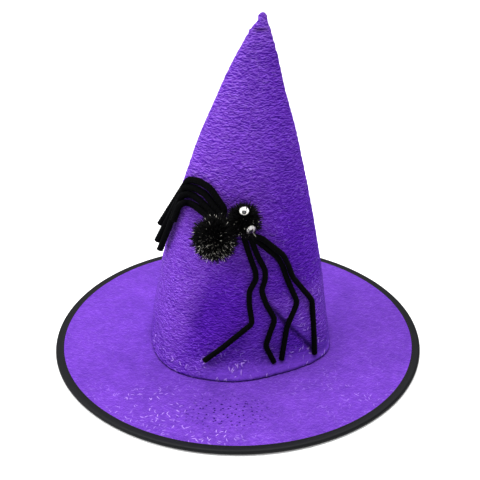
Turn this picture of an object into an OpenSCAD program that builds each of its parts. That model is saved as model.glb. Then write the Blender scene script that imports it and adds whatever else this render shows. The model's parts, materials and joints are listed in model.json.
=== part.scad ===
// Soft felt witch hat with a tinsel pompom spider on the front of its crown.
// Millimetres, +Z up. The hat stands on its brim at z = 0, and the origin is the
// centre of the brim's outer edge.

/* [Brim] */
// Outer diameter of the bound brim
brim_d = 380; // [340:5:420]
// Height of the finished edge, tape included
edge_h = 4.6; // [4:0.1:6]
// Width of bias tape that shows on each face of the brim
tape_w = 8.5; // [6:0.5:12]
// Thickness of the bias tape
tape_t = 0.6; // [0.4:0.1:0.8]
// Thickness of the felt lining ply under the brim
lining_t = 1; // [0.8:0.1:1.2]
// Thickness of the interlining between the brim's two felts
inter_t = 1; // [0.8:0.1:1.2]
// Diameter of the spring wire in the brim's edge
hoop_d = 1.5; // [1:0.1:1.8]

/* [Crown] */
// Height of the finished tip above the table
crown_h = 338; // [320:1:340]
// Height at which the crown's sides would meet
apex_h = 345; // [342:1:350]
// Half the crown's width across the hat at its foot
foot_w = 94; // [92:0.5:97]
// Half the crown's depth at its foot
foot_d = 93.5; // [91:0.5:96]
// Wall of the crown's felt
felt_w = 2; // [1.5:0.1:2.5]
// How far the tip leans towards +X
lean = 21; // [10:1:28]

/* [Sweatband] */
// Inside diameter of the head opening's tape
head_d = 165; // [160:1:165]
// Thickness of the ribbon
band_t = 0.9; // [0.6:0.1:1]
// Height of the ribbon's upper edge above the table
band_top = 10; // [7:1:10]
// How far the opening's centre lies behind the brim's centre
head_y = 10; // [9.5:0.1:10.5]
// How far the opening's centre lies to the left of the brim's centre
head_x = 2; // [1.5:0.1:2.5]

/* [Spider] */
// Diameter of the body pompom's packed core
body_d = 40; // [36:1:41]
// Diameter of the head pompom's packed core
face_d = 28; // [24:1:29]
// Diameter of a pipe-cleaner leg with its pile pressed flat
leg_d = 4.2; // [3:0.1:4.3]
// Outside diameter of a wobbly eye
eye_d = 10; // [8:0.5:10]

/* [Hidden] */

// Levels of the brim's plies, from the table up.
brim_r = brim_d / 2;
lining_z = tape_t;
inter_z = lining_z + lining_t;
felt_z = inter_z + inter_t;
brim_top = edge_h - tape_t;
ply_r = brim_r - 3;
band_r = head_d / 2 + band_t;
hole_r = band_r + 0.1;

// Grid of the crown's shell.
sides = 44;
outer_rings = 22;
inner_rings = 17;
inner_top = 318;
roof_h = 4;
cap_h = 4;
cap_rings = 3;

// The body and head pompoms touch the felt through their glue. Centre and outward direction.
body_at = [-21, -58, 144];
head_at = [6, -49.5, 159];
body_out = [-0.14, -0.9, 0.42];
head_out = [0, -0.92, 0.38];
glue_d = 12;
glue_h = 2.4;
glue_sink = 0.9;
skin_rings = [5, 11];

// The stems' twisted middle runs between the pompoms, from the left legs to the right legs.
twist_from = [-15, -42.5, 155.5];
twist_to = [6.5, -47.5, 142.5];
twist_d = 5;

// Eye positions on the head, as the direction each eye faces and the ring seat's distance.
eye_dirs = [[0, -0.5, 0.87], [0.44, -0.86, -0.27]];
eye_seat = 14.3;
eye_rim = 0.6;
eye_back_h = 1;
pupil_d = 4;
pupil_h = 0.6;
dome_t = 0.5;
dome_h = 3;

// Routes of the stems' legs, from the hip to the tip, as bent by hand.
LEFT = [
    [[-12, -38, 164], [-25.5, -28, 181], [-36.5, -22, 186], [-46.5, -15.5, 185],
        [-77.5, 3, 128.5]],
    [[-17, -38.5, 161], [-30.5, -27.5, 175], [-40.5, -21.5, 179], [-50.5, -17.5, 177.5],
        [-80, -9, 115.5]],
    [[-22, -38.5, 158.5], [-36, -27.5, 169], [-44.5, -21.5, 172.5], [-53, -23, 172],
        [-77.5, -12.5, 107.5]],
    [[-27, -38.5, 156], [-40.5, -28, 163.5], [-48.5, -23.5, 165], [-55, -32, 166],
        [-61, -35, 150]]
];
RIGHT = [
    [[6, -46.4, 137.8], [11, -50, 122], [17, -54, 106], [17.5, -57, 99], [11, -61, 89],
        [11, -65, 76], [14, -70, 58], [-15, -79, 36], [-33, -81, 22]],
    [[12, -46, 138], [19, -50.5, 121], [26.5, -54, 107], [26, -56.5, 97], [22.5, -59.5, 89],
        [27, -63, 76], [36, -64, 59], [27, -71, 33], [36, -71, 13]],
    [[19, -45.5, 134], [28.5, -47, 126.5], [38.5, -47.5, 117.5], [43, -48.5, 109],
        [47, -50.5, 97], [58, -52, 71], [48, -61, 49], [43, -68, 14]],
    [[22.5, -47.5, 139], [32, -49.5, 131.5], [43, -50, 122.5], [48, -51, 112],
        [52.5, -51.5, 99], [73, -43, 68], [76, -49, 31], [77, -54, 11]]
];
bend_r = 4;
tube_sides = 8;

// ---- Crown: an oval section that flattens towards the tip, as a soft cone does.

// Share of the way to the apex.
function rise(z) = z / apex_h;

// Half width across the hat, half depth, and the section's centre at height z.
function half_w(z) = let (q = rise(z)) foot_w * (1 - q) * (1 + 0.59 * q);
function half_d(z) =
    let (q = rise(z), t = 0.59 * q)
    foot_d * (1 - q) * (1 - t - 0.67 * t * t) + 2.5 * q;
function centre_x(z) = 2 + lean * pow(rise(z), 2.2);

// A bell curve of unit height, w wide.
function bell(u, w) = exp(-pow(u / w, 2));

// The section's share of its oval: pushed in at the front right, with a soft corner beside it,
// out a little behind, and dimpled at the lower front left. The angle a runs from -180 to 180.
function slump(a, z) =
    let (
        dent = -0.165 * bell(a + 66, a < -66 ? 30 : 27),
        corners = 0.035 * bell(a + 24, 12) + 0.035 * bell(a + 132, 18),
        back = 0.09 * max(0, sin(a)) * bell(z, 150),
        dimple = -0.055 * bell(a + 112, 15) * bell(z - 62, 26)
    )
    1 + (dent + corners) * bell(z, 55) + back + dimple;

// A point of the crown at angle a and height z, moved in by the wall and drawn in by the cap.
function crown_point(a, z, wall, shrink) =
    let (s = slump(a, z) * shrink)
    [
        centre_x(z) + (half_w(z) * s - wall) * cos(a),
        (half_d(z) * s - wall) * sin(a),
        z
    ];
function turn(i) = -180 + 360 * i / sides;

// Height of the outer face's ring i, closer together near the foot.
function ring_z(i) = brim_top + (crown_h - cap_h - brim_top) * pow(i / outer_rings, 0.85);

module crown_felt() {
    outer_z = [for (i = [0:outer_rings]) ring_z(i)];
    cap_z = [for (i = [1:cap_rings - 1]) crown_h - cap_h + cap_h * sin(90 * i / cap_rings)];
    inner_z = [for (i = [0:inner_rings])
        brim_top + (inner_top - brim_top) * pow(i / inner_rings, 0.85)];
    outer = [for (z = outer_z) [for (i = [0:sides - 1]) crown_point(turn(i), z, 0, 1)]];
    cap = [for (z = cap_z)
        let (h = (z - crown_h + cap_h) / cap_h)
        [for (i = [0:sides - 1]) crown_point(turn(i), z, 0, sqrt(1 - h * h))]];
    inner = [for (z = inner_z) [for (i = [0:sides - 1]) crown_point(turn(i), z, felt_w, 1)]];
    rings = concat(outer, cap);
    n_out = len(rings);
    n_in = len(inner);
    tip = [centre_x(crown_h), 0, crown_h];
    roof = [centre_x(inner_top + roof_h), 0, inner_top + roof_h];
    points = concat([for (r = rings) each r], [for (r = inner) each r], [tip, roof]);
    start_in = n_out * sides;
    tip_i = (n_out + n_in) * sides;
    roof_i = tip_i + 1;
    walls_out = [for (r = [0:n_out - 2], i = [0:sides - 1])
        let (j = (i + 1) % sides, p = r * sides, q = p + sides)
        each [[p + i, q + i, q + j], [p + i, q + j, p + j]]];
    walls_in = [for (r = [0:n_in - 2], i = [0:sides - 1])
        let (j = (i + 1) % sides, p = start_in + r * sides, q = p + sides)
        each [[p + i, q + j, q + i], [p + i, p + j, q + j]]];
    foot = [for (i = [0:sides - 1])
        let (j = (i + 1) % sides)
        each [[i, j, start_in + j], [i, start_in + j, start_in + i]]];
    top = [for (i = [0:sides - 1])
        let (p = (n_out - 1) * sides)
        [p + i, tip_i, p + (i + 1) % sides]];
    ceiling = [for (i = [0:sides - 1])
        let (p = start_in + (n_in - 1) * sides)
        [p + i, p + (i + 1) % sides, roof_i]];
    color("rebeccapurple")
        polyhedron(points, concat(walls_out, walls_in, foot, top, ceiling));
}

// ---- Brim

// A flat ring from z up, with the head opening cut off-centre.
module ply(z, thick) {
    difference() {
        translate([0, 0, z])
            cylinder(h = thick, r = ply_r, $fn = 180);
        translate([-head_x, head_y, z - 1])
            cylinder(h = thick + 2, r = hole_r, $fn = 180);
    }
}

module brim_felt() {
    color("rebeccapurple")
        ply(felt_z, brim_top - felt_z);
}

module brim_interlining() {
    color("dimgray")
        ply(inter_z, inter_t);
}

module brim_lining() {
    color("indigo")
        ply(lining_z, lining_t);
}

// A strip as thick as h, from the radius r_in out to a round edge at r_out.
module rounded_strip(r_in, r_out, z, h) {
    translate([r_in, z])
        square([r_out - r_in - h / 2, h]);
    translate([r_out - h / 2, z + h / 2])
        circle(d = h, $fn = 32);
}

module brim_binding() {
    color("black")
        rotate_extrude($fn = 180)
            difference() {
                rounded_strip(brim_r - tape_w, brim_r, 0, edge_h);
                rounded_strip(brim_r - tape_w - 1, brim_r - tape_t, tape_t, edge_h - 2 * tape_t);
            }
}

module brim_hoop() {
    color("silver")
        rotate_extrude($fn = 180)
            translate([ply_r + 0.1 + hoop_d / 2, edge_h / 2])
                circle(d = hoop_d, $fn = 24);
}

module sweatband() {
    color("black")
        translate([-head_x, head_y, lining_z])
            difference() {
                cylinder(h = band_top - lining_z, r = band_r, $fn = 180);
                translate([0, 0, -1])
                    cylinder(h = band_top - lining_z + 2, d = head_d, $fn = 180);
            }
}

// ---- Spider

// Turns +Z to the direction d and moves to the place p.
module facing(p, d) {
    translate(p)
        rotate([0, acos(d[2] / norm(d)), atan2(d[1], d[0])])
            children();
}

// The crown's outer skin as a solid, from its ring first up to its ring last.
module crown_skin(first, last) {
    rings = [for (r = [first:last])
        [for (i = [0:sides - 1]) crown_point(turn(i), ring_z(r), 0, 1)]];
    top_start = (last - first) * sides;
    walls = [for (r = [0:last - first - 1], i = [0:sides - 1])
        let (j = (i + 1) % sides, p = r * sides, q = p + sides)
        each [[p + i, q + i, q + j], [p + i, q + j, p + j]]];
    floor_face = [for (i = [0:sides - 1]) i];
    top_face = [for (i = [sides - 1:-1:0]) top_start + i];
    polyhedron([for (r = rings) each r], concat(walls, [floor_face], [top_face]));
}

// A dab of glue between a pompom and the felt behind it, shaped by both.
module glue(p, d, ball_d) {
    color("ivory")
        difference() {
            facing(p, d)
                translate([0, 0, -ball_d / 2 - glue_sink])
                    cylinder(h = glue_h, d = glue_d, $fn = 48);
            translate(p)
                sphere(d = ball_d + 0.1, $fn = 64);
            crown_skin(skin_rings[0], skin_rings[1]);
        }
}

module body_glue() glue(body_at, body_out, body_d);

module head_glue() glue(head_at, head_out, face_d);

// The room that the stems' twist presses into the pompoms.
module twist_rod(d) {
    run = twist_to - twist_from;
    facing(twist_from, run)
        cylinder(h = norm(run), d = d, $fn = 32);
}

module spider_body() {
    color("black")
        difference() {
            translate(body_at)
                sphere(d = body_d, $fn = 64);
            twist_rod(twist_d + 0.1);
        }
}

module spider_head() {
    color("black")
        difference() {
            translate(head_at)
                sphere(d = face_d, $fn = 64);
            translate(body_at)
                sphere(d = body_d + 0.1, $fn = 64);
            twist_rod(twist_d + 0.1);
            for (d = eye_dirs)
                facing(head_at, d)
                    translate([0, 0, eye_seat - eye_rim - 3])
                        cylinder(h = 10, d = eye_d + 0.2, $fn = 48);
        }
}

module leg_twist() {
    color("black")
        twist_rod(twist_d);
}

// Rounds each bend of a route with a short curve.
function eased(route) = [
    for (i = [0:len(route) - 1])
        if (i == 0 || i == len(route) - 1)
            route[i]
        else
            let (
                p = route[i],
                u = route[i - 1] - p,
                v = route[i + 1] - p,
                r = min(bend_r, 0.4 * norm(u), 0.4 * norm(v)),
                a = p + r * u / norm(u),
                b = p + r * v / norm(v)
            )
            each [for (t = [0:0.5:1]) (1 - t) * (1 - t) * a + 2 * t * (1 - t) * p + t * t * b]
];

// The direction of a path at its point i.
function along(path, i) =
    let (d = path[min(i + 1, len(path) - 1)] - path[max(i - 1, 0)])
    d / norm(d);

// A round tube of diameter d along a path, closed at both ends. Its rings share one
// reference direction, so they don't twist.
module tube(path, d) {
    ref = [0.9, 0.4, 0.17];
    rings = [for (i = [0:len(path) - 1])
        let (t = along(path, i), c = cross(t, ref), u = c / norm(c), v = cross(t, u))
        [for (k = [0:tube_sides - 1])
            let (a = 360 * k / tube_sides)
            path[i] + d / 2 * (cos(a) * u + sin(a) * v)]];
    last = (len(path) - 1) * tube_sides;
    walls = [for (i = [0:len(path) - 2], k = [0:tube_sides - 1])
        let (m = (k + 1) % tube_sides, p = i * tube_sides, q = p + tube_sides)
        each [[p + k, q + k, q + m], [p + k, q + m, p + m]]];
    ends = [for (k = [1:tube_sides - 2])
        each [[0, k, k + 1], [last, last + k + 1, last + k]]];
    polyhedron([for (r = rings) each r], concat(walls, ends));
}

module leg(route) {
    color("black")
        tube(eased(route), leg_d);
}

// ---- Wobbly eyes: a white cup, a loose black disc in it and a clear dome over both.

module eye_back(i) {
    color("white")
        facing(head_at, eye_dirs[i])
            translate([0, 0, eye_seat - eye_rim])
                cylinder(h = eye_back_h, d = eye_d - 2 * dome_t - 0.1, $fn = 48);
}

module eye_pupil(i) {
    slip = (eye_d - 2 * dome_t - pupil_d) / 2 - 0.4;
    color("black")
        facing(head_at, eye_dirs[i])
            translate([slip, 0, eye_seat - eye_rim + eye_back_h + 0.2])
                cylinder(h = pupil_h, d = pupil_d, $fn = 32);
}

module eye_dome(i) {
    inner_d = eye_d - 2 * dome_t;
    color("white", 0.3)
        facing(head_at, eye_dirs[i])
            translate([0, 0, eye_seat - eye_rim])
                difference() {
                    cylinder(h = dome_h, d = eye_d, $fn = 48);
                    translate([0, 0, -1])
                        cylinder(h = dome_h + 1 - dome_t, d = inner_d, $fn = 48);
                }
}

crown_felt();
brim_felt();
brim_interlining();
brim_lining();
brim_binding();
brim_hoop();
sweatband();
body_glue();
head_glue();
spider_body();
spider_head();
leg_twist();
leg(LEFT[0]);  // left_leg_1
leg(LEFT[1]);  // left_leg_2
leg(LEFT[2]);  // left_leg_3
leg(LEFT[3]);  // left_leg_4
leg(RIGHT[0]);  // right_leg_1
leg(RIGHT[1]);  // right_leg_2
leg(RIGHT[2]);  // right_leg_3
leg(RIGHT[3]);  // right_leg_4
eye_back(0);  // eye_back_1
eye_back(1);  // eye_back_2
eye_pupil(0);  // eye_pupil_1
eye_pupil(1);  // eye_pupil_2
eye_dome(0);  // eye_dome_1
eye_dome(1);  // eye_dome_2
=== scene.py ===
"""Looks of a soft felt witch hat with a tinsel pompom spider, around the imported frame.

Everything is in metres, +Z up, and the hat stands on its brim at z = 0. The crown and the brim
are closed felt shells worked out from formulas, the spider is tinsel, pipe cleaner and wobbly
eyes, and the sizes follow the frame's boxes.
"""

import json
import logging
import math
from dataclasses import dataclass
from enum import Enum

import bpy
import numpy as np
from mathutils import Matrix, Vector


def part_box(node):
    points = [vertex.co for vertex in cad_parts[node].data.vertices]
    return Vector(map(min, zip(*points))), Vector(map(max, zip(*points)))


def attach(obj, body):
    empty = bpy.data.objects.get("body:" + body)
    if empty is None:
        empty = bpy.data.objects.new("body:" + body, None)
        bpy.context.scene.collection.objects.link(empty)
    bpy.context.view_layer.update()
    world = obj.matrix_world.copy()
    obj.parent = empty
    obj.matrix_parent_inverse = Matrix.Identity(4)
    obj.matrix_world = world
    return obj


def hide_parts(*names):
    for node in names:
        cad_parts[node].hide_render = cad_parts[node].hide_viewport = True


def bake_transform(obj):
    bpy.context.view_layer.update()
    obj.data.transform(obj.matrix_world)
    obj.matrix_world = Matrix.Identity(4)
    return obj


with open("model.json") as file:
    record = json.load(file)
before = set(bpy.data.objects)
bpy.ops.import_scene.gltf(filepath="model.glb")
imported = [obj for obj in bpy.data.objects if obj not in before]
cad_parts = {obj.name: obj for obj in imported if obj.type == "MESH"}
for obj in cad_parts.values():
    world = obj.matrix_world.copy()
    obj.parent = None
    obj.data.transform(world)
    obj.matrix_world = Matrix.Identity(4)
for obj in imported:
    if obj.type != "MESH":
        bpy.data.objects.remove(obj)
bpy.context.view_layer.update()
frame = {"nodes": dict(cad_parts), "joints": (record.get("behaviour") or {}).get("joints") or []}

LOG = logging.getLogger("witch_hat")
MM = 0.001
TAU = 2 * math.pi

Tree = bpy.types.NodeTree
Node = bpy.types.Node
Socket = bpy.types.NodeSocket
Piece = bpy.types.Object
Array = np.ndarray
Number = Socket | float
Colour = Socket | str
Point = tuple[float, float, float]


class Side(Enum):
    """Which side of the spider a leg is on."""

    LEFT = "left"
    RIGHT = "right"


# ---------------------------------------------------------------- small tools


def linear(hex_colour: str) -> tuple[float, float, float, float]:
    """Turns an sRGB hex colour into linear RGBA.

    Args:
        hex_colour: six hex digits with a leading hash.

    Returns:
        The linear colour, with alpha 1.
    """
    parts = [int(hex_colour[i : i + 2], 16) / 255 for i in (1, 3, 5)]
    values = [c / 12.92 if c <= 0.04045 else ((c + 0.055) / 1.055) ** 2.4 for c in parts]
    return (values[0], values[1], values[2], 1.0)


def bell(distance: Array, width: float) -> Array:
    """A bell curve, exp(-(distance / width) squared)."""
    return np.exp(-((distance / width) ** 2))


def smooth_step(low: float, high: float, value: Array) -> Array:
    """Rises smoothly from 0 at low to 1 at high, as 3t^2 - 2t^3."""
    t = np.clip((value - low) / (high - low), 0, 1)
    return t * t * (3 - 2 * t)


def unit(vectors: Array) -> Array:
    """Scales vectors on the last axis to length 1."""
    return vectors / np.maximum(np.linalg.norm(vectors, axis=-1, keepdims=True), 1e-12)


def ripple(points: Array, size: float, squeeze: float, seed: int, waves: int = 40) -> Array:
    """Soft random relief: the mean of sine waves that run in random directions.

    Args:
        points: positions, with x, y and z on the last axis.
        size: typical wavelength in metres.
        squeeze: how many times shorter the waves are up Z than across.
        seed: random seed.
        waves: how many waves are summed.

    Returns:
        One value a point, mostly from -1 to 1.
    """
    rng = np.random.default_rng(seed)
    directions = unit(rng.normal(size=(waves, 3))) * TAU / size
    directions *= rng.uniform(0.7, 1.5, (waves, 1))
    directions[:, 2] *= squeeze
    phases = rng.uniform(0, TAU, waves)
    return np.sin(points @ directions.T + phases).sum(axis=-1) / math.sqrt(waves)


def grid_faces(rows: int, columns: int, loop_rows: bool = False) -> Array:
    """Quads of a grid whose columns close into a loop.

    Args:
        rows: number of rows of points.
        columns: number of points in a row.
        loop_rows: whether the last row joins the first.

    Returns:
        Point numbers, four to a face.
    """
    r = np.arange(rows if loop_rows else rows - 1)[:, None]
    c = np.arange(columns)[None, :]
    above, beside = (r + 1) % rows, (c + 1) % columns
    corners = [r * columns + c, r * columns + beside, above * columns + beside, above * columns + c]
    return np.stack(corners, axis=-1).reshape(-1, 4)


def fan_faces(ring_start: int, columns: int, pole: int, upward: bool) -> Array:
    """Triangles that close a ring onto a pole.

    Args:
        ring_start: the ring's first point.
        columns: number of points in the ring.
        pole: the pole's point.
        upward: whether the pole comes after the ring.

    Returns:
        Point numbers, three to a face.
    """
    c = np.arange(columns)
    first, second = ring_start + c, ring_start + (c + 1) % columns
    ends = (first, second) if upward else (second, first)
    return np.stack([ends[0], ends[1], np.full(columns, pole)], axis=-1)


def repeated(faces: Array, count: int, step: int, first: int = 0) -> Array:
    """Copies of one part's faces for a row of equal parts.

    Args:
        faces: point numbers of one part.
        count: number of parts.
        step: number of points in a part.
        first: the first part's first point.

    Returns:
        The faces of all parts.
    """
    starts = (first + np.arange(count) * step)[:, None, None]
    return (faces[None] + starts).reshape(-1, faces.shape[1])


def build(
    name: str,
    points: Array,
    quads: Array | None = None,
    triangles: Array | None = None,
    uv: Array | None = None,
    values: dict[str, Array] | None = None,
) -> Piece:
    """Puts points and faces into a new smooth mesh object at the origin.

    Args:
        name: the object's name.
        points: one row a point.
        quads: four point numbers a row.
        triangles: three point numbers a row.
        uv: one pair a point.
        values: named numbers, one a point, stored as attributes.

    Returns:
        The new object.
    """
    points = points.reshape(-1, 3)
    groups = [g for g in (quads, triangles) if g is not None and len(g)]
    corners = np.concatenate([g.ravel() for g in groups]).astype(np.int32)
    sizes = np.concatenate([np.full(len(g), g.shape[1]) for g in groups])
    starts = np.concatenate([[0], np.cumsum(sizes)[:-1]]).astype(np.int32)
    mesh = bpy.data.meshes.new(name)
    mesh.vertices.add(len(points))
    mesh.vertices.foreach_set("co", points.astype(np.float32).ravel())
    mesh.loops.add(len(corners))
    mesh.loops.foreach_set("vertex_index", corners)
    mesh.polygons.add(len(sizes))
    mesh.polygons.foreach_set("loop_start", starts)
    mesh.polygons.foreach_set("use_smooth", np.ones(len(sizes), dtype=bool))
    if uv is not None:
        layer = mesh.uv_layers.new(name="UVMap")
        layer.data.foreach_set("uv", uv.reshape(-1, 2)[corners].astype(np.float32).ravel())
    for key, numbers in (values or {}).items():
        attribute = mesh.attributes.new(key, "FLOAT", "POINT")
        attribute.data.foreach_set("value", numbers.astype(np.float32).ravel())
    mesh.update(calc_edges=True)
    mesh.validate()
    piece = bpy.data.objects.new(name, mesh)
    bpy.context.scene.collection.objects.link(piece)
    return piece


def closed_grid(
    name: str, rows: Array, poles: Array | list, values: dict[str, Array] | None = None
) -> Piece:
    """A grid of rings, closed by a fan of triangles onto a pole at each end.

    Args:
        name: the object's name.
        rows: rings of points, one ring a row.
        poles: the pole before the first ring and the pole after the last.
        values: named numbers, one a point, poles last.

    Returns:
        The new object.
    """
    count, columns = rows.shape[0] * rows.shape[1], rows.shape[1]
    ends = [
        fan_faces(0, columns, count, upward=False),
        fan_faces(count - columns, columns, count + 1, upward=True),
    ]
    points = np.concatenate([rows.reshape(-1, 3), poles])
    return build(name, points, grid_faces(rows.shape[0], columns), np.concatenate(ends), values=values)


def frames_along(path: Array) -> tuple[Array, Array, Array]:
    """Directions along a path and two across it, all from one fixed reference.

    Args:
        path: points, one a row.

    Returns:
        The tangent, and two unit vectors that are square to it and to each other.
    """
    tangent = unit(np.gradient(path, axis=0))
    reference = unit(np.array([0.9, 0.4, 0.17]))
    across = unit(np.cross(tangent, reference))
    return tangent, across, np.cross(tangent, across)


def resampled(path: Array, step: float) -> Array:
    """Points at even steps along a path of straight runs.

    Args:
        path: points, one a row.
        step: distance between points.

    Returns:
        The new points.
    """
    lengths = np.concatenate([[0], np.cumsum(np.linalg.norm(np.diff(path, axis=0), axis=1))])
    count = max(3, int(round(lengths[-1] / step)) + 1)
    at = np.linspace(0, lengths[-1], count)
    return np.stack([np.interp(at, lengths, path[:, k]) for k in range(3)], axis=1)


def dress(
    piece: Piece,
    finish: "Finish",
    body: str,
    stands_for: tuple[str, ...] = (),
) -> Piece:
    """Gives a piece its material, its body and the CAD nodes that it stands for.

    Args:
        piece: the piece to dress.
        finish: its finish.
        body: the body that it rides on.
        stands_for: CAD nodes that it replaces.

    Returns:
        The same piece.
    """
    piece.data.materials.clear()
    piece.data.materials.append(finish.material())
    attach(piece, body)
    if stands_for:
        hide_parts(*stands_for)
    LOG.info("%s: %d faces, on %s", piece.name, len(piece.data.polygons), body)
    return piece


# ---------------------------------------------------------------- finishes


def add_node(tree: Tree, kind: str, inputs: dict | None = None, **settings: object) -> Node:
    """Adds a node, sets its settings, and sets or links its inputs.

    Args:
        tree: the material's node tree.
        kind: the node's type.
        inputs: input names or numbers, each with a value or with the output to link.
        settings: the node's own properties.

    Returns:
        The new node.
    """
    made = tree.nodes.new(kind)
    for key, value in settings.items():
        setattr(made, key, value)
    for key, value in (inputs or {}).items():
        if isinstance(value, Socket):
            tree.links.new(value, made.inputs[key])
        else:
            made.inputs[key].default_value = value
    return made


def object_place(tree: Tree) -> Socket:
    """The position in Object coordinates."""
    return add_node(tree, "ShaderNodeTexCoord").outputs["Object"]


def attribute(tree: Tree, name: str) -> Socket:
    """A number stored on the mesh under a name."""
    return add_node(tree, "ShaderNodeAttribute", attribute_name=name).outputs["Fac"]


def remap(
    tree: Tree,
    value: Socket,
    start: float,
    end: float,
    low: float = 0.0,
    high: float = 1.0,
    smooth: bool = False,
) -> Socket:
    """Maps a value from start and end to low and high, held at both ends.

    Args:
        tree: the material's node tree.
        value: the value to map.
        start: value that gives low.
        end: value that gives high.
        low: result at the start.
        high: result at the end.
        smooth: whether the change is eased at both ends.

    Returns:
        The mapped value.
    """
    inputs = {"Value": value, "From Min": start, "From Max": end, "To Min": low, "To Max": high}
    kind = "SMOOTHSTEP" if smooth else "LINEAR"
    return add_node(tree, "ShaderNodeMapRange", inputs, interpolation_type=kind).outputs[0]


def ramp(tree: Tree, factor: Socket, stops: list) -> Socket:
    """A colour ramp over a factor, from stops of place and hex colour.

    Args:
        tree: the node tree.
        factor: the value or share.
        stops: pairs of place and hex colour.

    Returns:
        The colour.
    """
    made = add_node(tree, "ShaderNodeValToRGB", {"Fac": factor})
    band = made.color_ramp
    while len(band.elements) < len(stops):
        band.elements.new(0.5)
    for element, (place, colour) in zip(band.elements, stops):
        element.position = place
        element.color = linear(colour)
    return made.outputs["Color"]


def maths(tree: Tree, operation: str, *values: Number) -> Socket:
    """One sum of a Math node, from numbers or outputs."""
    inputs = dict(enumerate(values))
    return add_node(tree, "ShaderNodeMath", inputs, operation=operation).outputs[0]


def blend_colour(tree: Tree, factor: Number, first: Colour, second: Colour, mode: str = "MIX") -> Socket:
    """Mixes two colours, each a hex colour or an output, by a factor.

    Args:
        tree: the node tree.
        factor: the value or share.
        first: the first of the two.
        second: the second of the two.
        mode: the blend mode.

    Returns:
        The mixed colour.
    """
    made = add_node(tree, "ShaderNodeMix", {"Factor": factor}, data_type="RGBA", blend_type=mode)
    for place, value in ((6, first), (7, second)):
        if isinstance(value, str):
            made.inputs[place].default_value = linear(value)
        else:
            tree.links.new(value, made.inputs[place])
    return made.outputs[2]


def noise(
    tree: Tree, vector: Socket, scale: float, detail: float = 3.0, rough: float = 0.5, twist: float = 0.0
) -> Socket:
    """A noise texture's factor at a vector, scale in features a metre."""
    inputs = {"Vector": vector, "Scale": scale, "Detail": detail, "Roughness": rough, "Distortion": twist}
    return add_node(tree, "ShaderNodeTexNoise", inputs).outputs[0]


@dataclass(frozen=True)
class Finish:
    """A named finish that makes its material once."""

    name: str = "finish"

    def material(self) -> bpy.types.Material:
        """The finish's material, made on first use.

        Returns:
            The material.
        """
        found = bpy.data.materials.get(self.name)
        if found:
            return found
        made = bpy.data.materials.new(self.name)
        made.use_nodes = True
        self.paint(made.node_tree, made.node_tree.nodes["Principled BSDF"])
        return made

    def paint(self, tree: Tree, shader: Node) -> None:
        """Adds the finish's nodes to a new material's tree."""
        raise NotImplementedError

    @staticmethod
    def settle(
        tree: Tree,
        shader: Node,
        height: Socket | None = None,
        depth: float = 0.0,
        strength: float = 1.0,
        **inputs: object,
    ) -> None:
        """Sets or links shader inputs by name, and bumps the surface by a height.

        Args:
            tree: the node tree.
            shader: the Principled BSDF node.
            height: height that bumps the surface.
            depth: depth of the bump in metres.
            strength: strength of the bump.
            inputs: shader inputs, with underscores for spaces.
        """
        for key, value in inputs.items():
            socket = shader.inputs[key.replace("_", " ")]
            if isinstance(value, Socket):
                tree.links.new(value, socket)
            else:
                socket.default_value = value
        if height is not None:
            bump = {"Height": height, "Distance": depth, "Strength": strength}
            made = add_node(tree, "ShaderNodeBump", bump)
            tree.links.new(made.outputs[0], shader.inputs["Normal"])


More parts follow.
